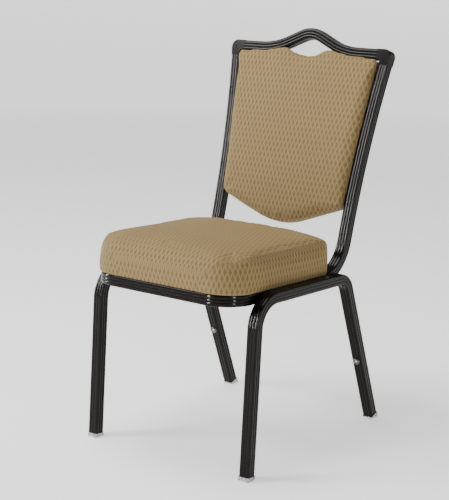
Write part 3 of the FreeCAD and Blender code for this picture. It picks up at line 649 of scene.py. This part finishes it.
def top_level(x, y):
    """Height of the crowned top. The crown fades towards the sides and the front."""
    across = 1 - np.clip(np.abs(x) / HALF_WIDE, 0, 1) ** CROWN_SQUARE
    return CREASE + CROWN * across * (1 - FRONT_LOSS * smoothstep(LOSS_STARTS, LOSS_ENDS, y))


def seat_body():
    """Closed rough form: a waterfall front, tight side creases and a crowned top."""
    outline, normal = seat_outline()
    frontness = smoothstep(0.0, 0.8, -normal[:, 1])
    rearness = smoothstep(0.3, 1.0, normal[:, 1])
    radius = SIDE_ROUND + (FRONT_ROUND - SIDE_ROUND) * frontness + (REAR_ROUND - SIDE_ROUND) * rearness
    shoulder = top_level(outline[:, 0], outline[:, 1]) - radius
    rings = [np.column_stack([outline - normal * TUCK, np.full(len(outline), BASE)])]
    # share of the side's height, and how far it swells there in millimetres
    for share, bulge in ((0.0, -0.4), (0.06, 0.6), (0.2, 1.5), (0.45, 2.2), (0.75, 1.5), (1.0, 0.3)):
        flat = outline + normal * bulge * MM
        rings.append(np.column_stack([flat, BASE - LIP + share * (shoulder - BASE + LIP)]))
    for step in range(1, ROUND_STEPS + 1):
        angle = math.radians(90 * step / ROUND_STEPS)
        flat = outline - normal * (radius * (1 - math.cos(angle)))[:, None]
        level = top_level(flat[:, 0], flat[:, 1]) - radius * (1 - math.sin(angle))
        rings.append(np.column_stack([flat, level]))
    centre = np.array([0.0, (FRONT + REAR) / 2])
    last = rings[-1][:, :2]
    for share in (0.94, 0.87, 0.78, 0.67, 0.55, 0.42, 0.28, 0.14):
        flat = centre + (last - centre) * share
        rings.append(np.column_stack([flat, top_level(flat[:, 0], flat[:, 1])]))
    return closed_form("seat_cushion", rings, SEAT_TILT)


# Where a side seam leaves the front rail, and where it has risen to the crease
SEAM_START = 96 * MM
SEAM_TURN = 215 * MM
SEAM_STEEPNESS = 5.2e-4


def seam_level(along):
    """Height of the side seam at a distance round the outline from the middle of the front."""
    before = np.clip(SEAM_TURN - np.asarray(along, float), 0, None) / MM
    return CREASE - SEAM_STEEPNESS * before ** 2.5 * MM


def seat_along(points):
    """Distance round the outline from the middle of the front, for points in the seat plane."""
    x = np.abs(points[:, 0])
    y = points[:, 1]
    turn = np.arctan2(x - STRAIGHT, FRONT + FRONT_CORNER - y)
    arc = STRAIGHT + FRONT_CORNER * np.clip(turn, 0, math.pi / 2)
    side = ARC_END + y - FRONT - FRONT_CORNER
    return np.where(y < FRONT + FRONT_CORNER, np.where(x > STRAIGHT, arc, x), side)


def seat_weave(corners, centres):
    """Weave map: the top and front are one panel, the side and rear boxing another."""
    p = to_plane(corners, SEAT_TILT)
    c = to_plane(centres, SEAT_TILT)
    boxing = c[:, 2] < seam_level(seat_along(c))
    rear = boxing & (c[:, 1] > REAR - 0.35 * REAR_CORNER)
    drop = np.clip(FRONT + FRONT_ROUND - p[:, 1], 0, FRONT_ROUND)
    turn = np.arcsin(drop / FRONT_ROUND)
    below = np.clip(CREASE - FRONT_ROUND - p[:, 2], 0, None)
    over = np.where(drop > 0, FRONT + FRONT_ROUND * (1 - turn) - below, p[:, 1])
    u = np.where(boxing & ~rear, np.sign(c[:, 0]) * seat_along(p), p[:, 0])
    return np.stack([u, np.where(boxing, p[:, 2], over)], 1)


def seam_line(side, inward, upward):
    """Points of one seam, up from the front rail, round the corner and back along the side."""
    end = ARC_END + (REAR - REAR_CORNER) - (FRONT + FRONT_CORNER)
    points = []
    for along in np.linspace(SEAM_START, end, 190):
        if along < STRAIGHT:
            x, y, nx, ny = along, FRONT, 0, -1
        elif along < ARC_END:
            angle = (along - STRAIGHT) / FRONT_CORNER
            nx, ny = math.sin(angle), -math.cos(angle)
            x = STRAIGHT + FRONT_CORNER * nx
            y = FRONT + FRONT_CORNER * (1 + ny)
        else:
            x, y, nx, ny = HALF_WIDE, FRONT + FRONT_CORNER + along - ARC_END, 1, 0
        level = float(seam_level(along)) + upward
        points.append((side * (x - nx * inward), y - ny * inward, level))
    return from_plane(points, SEAT_TILT)


def stitches(line, length, gap):
    """Cuts a line into short stitches."""
    lengths = lengths_along(line)
    starts = np.arange(0, lengths[-1] - length, length + gap)
    return [sampled(line, lengths, np.linspace(start, start + length, 4)) for start in starts]


def seat_held(points):
    """Which of these points lie in the low part of the cushion, which is fixed to the board."""
    return to_plane(points, SEAT_TILT)[:, 2] < BASE + SEAT_HELD


def settle(piece):
    """Lays the cushion's underside flat on the rail."""
    flat = to_plane(read_points(piece), SEAT_TILT)
    flat[:, 2] = np.maximum(flat[:, 2], BASE)
    write_points(piece, from_plane(flat, SEAT_TILT))


SEAT_HELD = 8 * MM
PINCH_DEPTH = 0.6 * MM
PINCH_WIDTH = 3.0 * MM
WELT_RADIUS = 0.55 * MM
WELT_LIFT = 0.1 * MM
THREAD_RADIUS = 0.34 * MM
STITCH_LENGTH = 3.6 * MM
STITCH_GAP = 2.2 * MM
STITCH_IN = 3.5 * MM
STITCH_UP = 2.5 * MM
STITCH_LIFT = 0.15 * MM

seat_cushion = seat_body()
soften(seat_cushion, seat_held)
settle(seat_cushion)
for side in (-1, 1):
    pinch(seat_cushion, onto(seat_cushion, seam_line(side, 0, 0), 0), PINCH_DEPTH, PINCH_WIDTH)
set_uv(seat_cushion, seat_weave)
dress(seat_cushion, FABRIC)
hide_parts("seat_cover", "seat_foam")

for side, word in ((-1, "left"), (1, "right")):
    welt = evened(onto(seat_cushion, seam_line(side, 0, 0), WELT_LIFT))
    dress(cords("seat_seam_" + word, [welt], WELT_RADIUS), STITCH)
    beside = evened(onto(seat_cushion, seam_line(side, STITCH_IN, STITCH_UP), STITCH_LIFT))
    row = cords("seat_stitches_" + word, stitches(beside, STITCH_LENGTH, STITCH_GAP), THREAD_RADIUS)
    dress(row, STITCH)


# ---------------------------------------------------------------- back pad

PAD_LOW, PAD_HIGH = plane_box("back_cover", BACK_TILT)
PANEL_LOW, PANEL_HIGH = plane_box("back_outer_panel", BACK_TILT)
CROWN_FACE = plane_box("crown_rail", BACK_TILT)[0][1]
PAD_BACK = PAD_HIGH[1]
PAD_FRONT = PAD_LOW[1]
PAD_BULGE = 8 * MM     # how far the top edge swells over the crown, each side of the hand hole
PAD_CORNER = 3 * MM    # how far the top corners fill out
PAD_ROLL = 13 * MM     # how far the front edge rolls inwards
ROLL_DEPTH = 6 * MM    # how far it rolls forward
WALL_AHEAD = 3 * MM    # how far the side walls come in front of the crown rail's face
WALL_SWELL = 9 * MM    # how much further they come half way up
PAD_HELD = 4 * MM
HUMP_INNER = (22 * MM, 58 * MM)     # where the top edge starts to swell beside the hand hole
HUMP_OUTER = (140 * MM, 184 * MM)   # where most of it fades towards the corners
HUMP_FADE = 0.7
PAD_RING = 420
ROLL_STEPS = 6


def sheet_outline(node, tilt):
    """The outline of a flat CAD sheet's front face, square to a tilted plane and evenly spaced."""
    points = to_plane(node_points(node), tilt)
    flat = points[points[:, 1] < points[:, 1].min() + 0.05 * MM][:, [0, 2]]
    grain = 0.02 * MM
    rim = np.unique(np.round(flat / grain) * grain, axis=0)
    centre = np.array([0.0, (rim[:, 1].min() + rim[:, 1].max()) / 2])
    ring = rim[np.argsort(np.arctan2(rim[:, 1] - centre[1], rim[:, 0] - centre[0]))]
    ring = np.vstack([ring, ring[:1]])
    lengths = lengths_along(ring)
    return sampled(ring, lengths, np.linspace(0, lengths[-1], PAD_RING, endpoint=False))


def outward(ring):
    """Unit normals of a closed counterclockwise ring."""
    run = np.roll(ring, -3, axis=0) - np.roll(ring, 3, axis=0)
    normal = np.stack([run[:, 1], -run[:, 0]], 1)
    return normal / np.linalg.norm(normal, axis=1)[:, None]


def back_ring(flat, depth):
    """Points across, deep and high in the back's plane, from an outline and its depth or depths."""
    return np.column_stack([flat[:, 0], np.broadcast_to(depth, len(flat)), flat[:, 1]])


def pad_body(outline):
    """Closed rough form: side walls deepest half way up, a domed front, and a top that bulges over the
    crown rail."""
    normal = outward(outline)
    low, high = outline[:, 1].min(), outline[:, 1].max()
    share = (outline[:, 1] - low) / (high - low)
    wall_front = CROWN_FACE - WALL_AHEAD - WALL_SWELL * np.sin(math.pi * np.clip(share * 1.05, 0, 1))
    across = np.abs(outline[:, 0])
    humps = smoothstep(*HUMP_INNER, across) * (1 - HUMP_FADE * smoothstep(*HUMP_OUTER, across))
    upper = smoothstep(0.45, 0.90, normal[:, 1]) * smoothstep(0.80, 0.90, share) * humps
    corner = smoothstep(160 * MM, 182 * MM, across) * smoothstep(0.88, 0.94, share)
    bulge = upper * PAD_BULGE + corner * PAD_CORNER
    rings = []
    # share of the wall's depth, inset there in millimetres, and share of the bulge
    for part, inset, rise in ((0, 2.5, 0), (0.15, 0.6, 0), (0.5, 0.0, 0), (0.8, 0.0, 0.2), (1.0, -0.4, 1.0)):
        flat = outline - normal * (inset * MM - rise * bulge)[:, None]
        rings.append(back_ring(flat, PAD_BACK + part * (wall_front - PAD_BACK)))
    for step in range(1, ROLL_STEPS + 1):
        angle = math.radians(90 * step / ROLL_STEPS)
        inset = PAD_ROLL * (1 - math.cos(angle)) - 0.4 * MM
        flat = outline - normal * (inset - bulge)[:, None]
        rings.append(back_ring(flat, wall_front - ROLL_DEPTH * math.sin(angle)))
    centre = np.array([0.0, (low + high) / 2])
    last = rings[-1]
    for share_in in (0.95, 0.88, 0.79, 0.68, 0.55, 0.42, 0.28, 0.14):
        flat = centre + (last[:, [0, 2]] - centre) * share_in
        dome = 1 - share_in ** 2.0
        rings.append(back_ring(flat, last[:, 1] + (PAD_FRONT - last[:, 1]) * dome))
    return closed_form("back_pad", rings, BACK_TILT)


def pad_held(points):
    """Which of these points lie at the back of the pad, which is fixed to its board."""
    return to_plane(points, BACK_TILT)[:, 1] > PAD_BACK - PAD_HELD


def weave_over(outline, front):
    """A weave map across and up a panel, which carries on round its edge past the given depth."""
    normal = outward(outline)
    lines = np.column_stack([outline[:, 0], np.zeros(len(outline)), outline[:, 1]])

    def finder(corners, _):
        p = to_plane(corners, BACK_TILT)
        beside = nearest(p * (1, 0, 1), lines)[0]
        past = np.clip(p[:, 1] - front, 0, None)
        return p[:, [0, 2]] + normal[beside] * past[:, None]

    return finder


PANEL_OUTLINE = sheet_outline("back_outer_panel", BACK_TILT)
PAD_OUTLINE = PANEL_OUTLINE + outward(PANEL_OUTLINE) * (PAD_HIGH[0] - PANEL_HIGH[0])
back_pad = pad_body(PAD_OUTLINE)
soften(back_pad, pad_held)
set_uv(back_pad, weave_over(PAD_OUTLINE, CROWN_FACE - 8 * MM))
dress(back_pad, FABRIC)
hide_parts("back_cover", "back_foam")


# ---------------------------------------------------------------- rear panel of the back

def rear_panel_body(outline):
    """Thin covered board: flat against the pad, softly rounded and slightly crowned behind."""
    normal = outward(outline)
    near, far = PANEL_LOW[1], PANEL_HIGH[1]
    rings = []
    for part, inset in ((0.0, 0.6), (0.35, 0.0), (0.7, 0.5), (0.92, 1.6), (1.0, 3.2)):
        flat = outline - normal * inset * MM
        rings.append(back_ring(flat, near + part * (far - near)))
    centre = outline.mean(0)
    last = rings[-1]
    for share in (0.9, 0.75, 0.58, 0.4, 0.2):
        flat = centre + (last[:, [0, 2]] - centre) * share
        crown = far + 1.8 * MM * (1 - share ** 2)
        rings.append(back_ring(flat, crown))
    return closed_form("rear_fabric_panel", rings[::-1], BACK_TILT)


rear_panel = rear_panel_body(PANEL_OUTLINE)
set_uv(rear_panel, weave_over(PANEL_OUTLINE, PANEL_LOW[1]))
dress(rear_panel, FABRIC)
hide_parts("back_outer_panel")


# ---------------------------------------------------------------- dust cloth under the seat

DUST_LOW, DUST_HIGH = plane_box("seat_dust_cover", SEAT_TILT)
DUST_CORNER = 18 * MM
PUCKER_HIGH = 0.21 * MM
PUCKER_REACH = 14 * MM
STAPLE_GAP = 32 * MM
STAPLE_LENGTH = 9 * MM


def dust_body():
    """A thin cloth stretched under the board, with small puckers between its staples."""
    across, along = 84, 80
    points = []
    for j in range(along + 1):
        for i in range(across + 1):
            x = DUST_LOW[0] + (DUST_HIGH[0] - DUST_LOW[0]) * i / across
            y = DUST_LOW[1] + (DUST_HIGH[1] - DUST_LOW[1]) * j / along
            from_front = max(0, DUST_LOW[1] + DUST_CORNER - y)
            most = DUST_HIGH[0] - DUST_CORNER + math.sqrt(max(DUST_CORNER ** 2 - from_front ** 2, 0))
            x *= most / DUST_HIGH[0]
            edge = min(DUST_HIGH[0] - abs(x), y - DUST_LOW[1], DUST_HIGH[1] - y)
            pucker = PUCKER_HIGH * math.exp(-max(edge, 0) / PUCKER_REACH)
            wave = pucker * math.sin(2 * math.pi * (x + y) / STAPLE_GAP)
            points.append((x, y, DUST_HIGH[2] - 0.5 * MM + wave))
    row = across + 1
    faces = [(j * row + i, j * row + i + 1, (j + 1) * row + i + 1, (j + 1) * row + i)
             for j in range(along) for i in range(across)]
    return new_object("dust_cloth", from_plane(points, SEAT_TILT), faces)


def staple_lines():
    """Small wire staples a few millimetres in from the cloth's edge."""
    lines = []
    margin = 6 * MM
    level = DUST_LOW[2] - 0.25 * MM
    half = DUST_HIGH[0] - margin
    for side in (-1, 1):
        for y in np.arange(DUST_LOW[1] + 30 * MM, DUST_HIGH[1] - 15 * MM, STAPLE_GAP):
            lines.append([(side * half, y, level), (side * half, y + STAPLE_LENGTH, level)])
    for y in (DUST_LOW[1] + margin, DUST_HIGH[1] - margin):
        for x in np.arange(-half + 28 * MM, half - 30 * MM, STAPLE_GAP):
            lines.append([(x, y, level), (x + STAPLE_LENGTH, y, level)])
    return [from_plane(line, SEAT_TILT) for line in lines]


dust_cloth = dress(dust_body(), FINISHES["dust_cloth"])
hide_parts("seat_dust_cover")
dress(cords("dust_cloth_staples", staple_lines(), 0.35 * MM), FINISHES["screw_steel"])


# ---------------------------------------------------------------- stage, light and camera

LOW, HIGH = (Vector(corner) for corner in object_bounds())
MIDDLE = (LOW + HIGH) / 2
FLOOR_REACH = 6.5   # radius of the level floor
SWEEP = 1.0         # radius of its curve up into the wall
WALL_TOP = 2.4
AROUND = 96

# The floor's own glow, how much of it the wall loses, and the heights between which it fades
GLOW = 0.82
GLOW_LOSS = 0.70
GLOW_FADE = (0.8, 2.2)


def sweep_floor():
    """A round pale floor that curves up into a wall, the same from every side."""
    profile = [(0.02, 0.0), (2.0, 0.0), (4.0, 0.0), (FLOOR_REACH, 0.0)]
    for degrees in range(6, 91, 6):
        angle = math.radians(degrees)
        profile.append((FLOOR_REACH + SWEEP * math.sin(angle), SWEEP * (1 - math.cos(angle))))
    profile.append((FLOOR_REACH + SWEEP, WALL_TOP))
    angle = np.linspace(0, 2 * math.pi, AROUND, endpoint=False)
    rings = [np.column_stack([reach * np.cos(angle), reach * np.sin(angle), np.full(AROUND, level)])
             for reach, level in profile]
    faces = ring_faces(len(rings), AROUND)
    faces.append(tuple(range(AROUND - 1, -1, -1)))
    floor = new_object("floor", np.vstack(rings), faces)
    n = Nodes("pale_floor")
    height = n.add("SeparateXYZ")
    n.link(n.place(), height.inputs[0])
    lost = n.math("MULTIPLY", n.ramp(height.outputs[2], *GLOW_FADE), GLOW_LOSS)
    glow = n.math("SUBTRACT", GLOW, lost)
    n.set(Base_Color=(0.90, 0.90, 0.90), Roughness=0.8)
    n.set(Emission_Color=(1.0, 1.0, 1.0), Emission_Strength=glow)
    floor.data.materials.append(n.material)
    floor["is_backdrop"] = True


def soft_light(name, place, size, power, tall=None):
    """A light aimed at the chair: a round softbox or, if it has a height, an upright strip that gives
    no diffuse light."""
    data = bpy.data.lights.new(name, "AREA")
    data.shape = "DISK" if tall is None else "RECTANGLE"
    data.size = size
    data.size_y = tall or size
    data.energy = power
    lamp = linked(name, data)
    lamp.location = place
    lamp.visible_diffuse = tall is None
    lamp.rotation_euler = (MIDDLE - Vector(place)).to_track_quat("-Z", "Y").to_euler()


CAMERA_TURN = math.radians(36.69979)
CAMERA_DROP = math.radians(12.55353)
CAMERA_ROLL = math.radians(0.86071)
CAMERA_PLACE = (1.79260, -2.46197, 1.09641)
CAMERA_LENS = 110.87
SENSOR_WIDTH = 36


def set_camera():
    """The view from the front and right, a little above."""
    data = bpy.data.cameras.new("camera")
    data.sensor_fit = "HORIZONTAL"
    data.sensor_width = SENSOR_WIDTH
    data.lens = CAMERA_LENS
    camera = linked("camera", data)
    ahead = Vector((-math.sin(CAMERA_TURN) * math.cos(CAMERA_DROP),
                    math.cos(CAMERA_TURN) * math.cos(CAMERA_DROP), -math.sin(CAMERA_DROP)))
    right = Vector((math.cos(CAMERA_TURN), math.sin(CAMERA_TURN), 0))
    up = right.cross(ahead)
    tilted_right = right * math.cos(CAMERA_ROLL) + up * math.sin(CAMERA_ROLL)
    tilted_up = up * math.cos(CAMERA_ROLL) - right * math.sin(CAMERA_ROLL)
    turn = Matrix((tilted_right, tilted_up, -ahead)).transposed().to_4x4()
    camera.matrix_world = Matrix.Translation(CAMERA_PLACE) @ turn
    SCENE.camera = camera


sweep_floor()
set_camera()
soft_light("key", (-2.3, -2.3, 2.9), 1.4, 116)
soft_light("top", (-0.6, -0.2, 3.2), 1.6, 66)
soft_light("strip_left", (-0.6, -3.5, 1.4), 0.26, 190, 2.2)
soft_light("strip_far_left", (-3.2, -1.2, 1.3), 0.26, 120, 2.2)
soft_light("strip_right", (3.2, -1.3, 1.3), 0.22, 70, 2.2)
world = bpy.data.worlds.new("studio")
world.use_nodes = True
background = world.node_tree.nodes["Background"]
background.inputs["Color"].default_value = (1, 1, 1, 1)
background.inputs["Strength"].default_value = 0.12
SCENE.world = world
